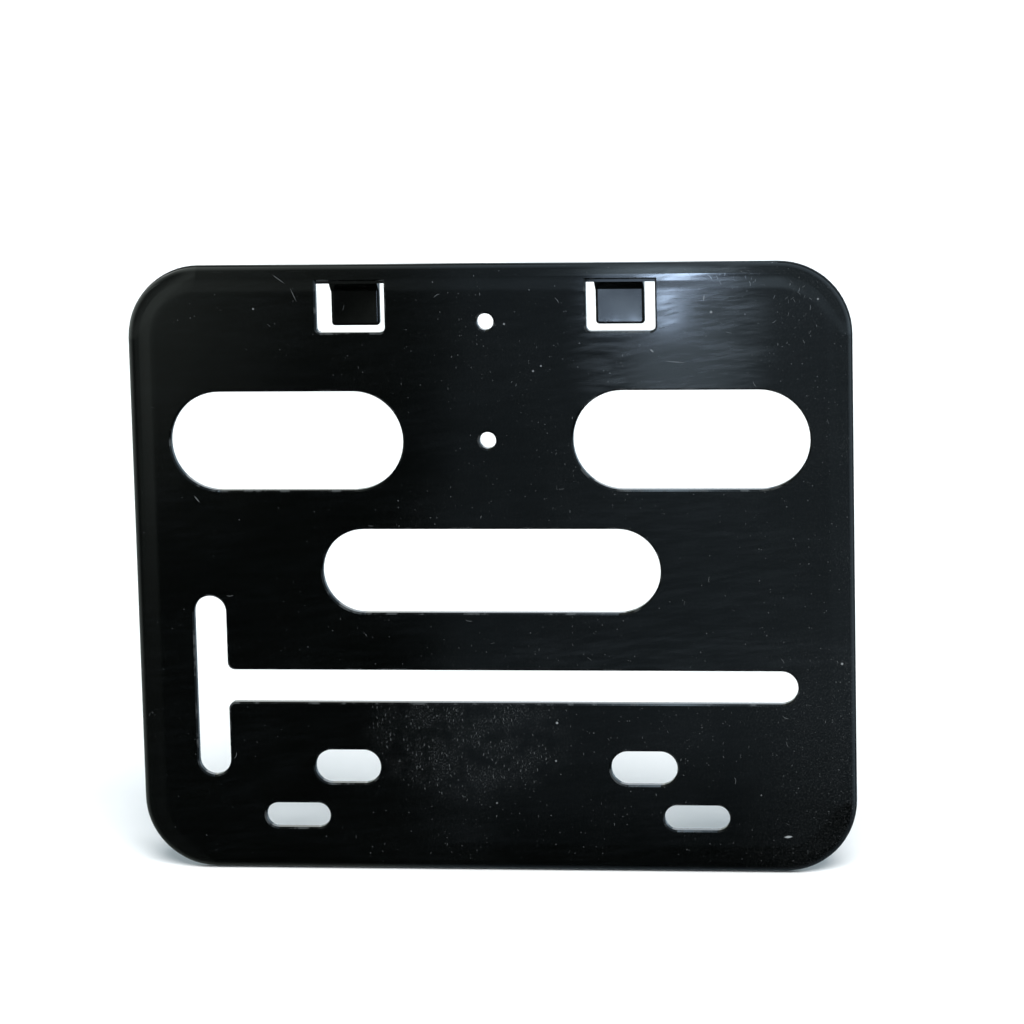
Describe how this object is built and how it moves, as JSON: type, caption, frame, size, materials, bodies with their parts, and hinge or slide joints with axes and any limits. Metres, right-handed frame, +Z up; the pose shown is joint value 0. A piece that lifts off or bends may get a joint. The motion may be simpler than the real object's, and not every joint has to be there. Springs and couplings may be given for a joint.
{
  "type": "number plate holder",
  "caption": "Flat moulded panel that carries a vehicle's number plate, with a turned-back rim, bolt and strap slots, screw holes and hooks behind windows.",
  "frame": {"origin": "middle of the inner pair of bolt slots, on the flat face that is laid against the vehicle", "axes": "+X across the panel to the right as seen from the flat face, +Z up the panel, and +Y from the flat face back to the hooks and the rim's edge"},
  "size_m": [0.2, 0.008, 0.17],
  "materials": {
    "black_plastic": "glossy black moulding with fine scratches and dust"
  },
  "bodies": {
    "root": {"plate_holder": "black_plastic"}
  },
  "joints": []
}
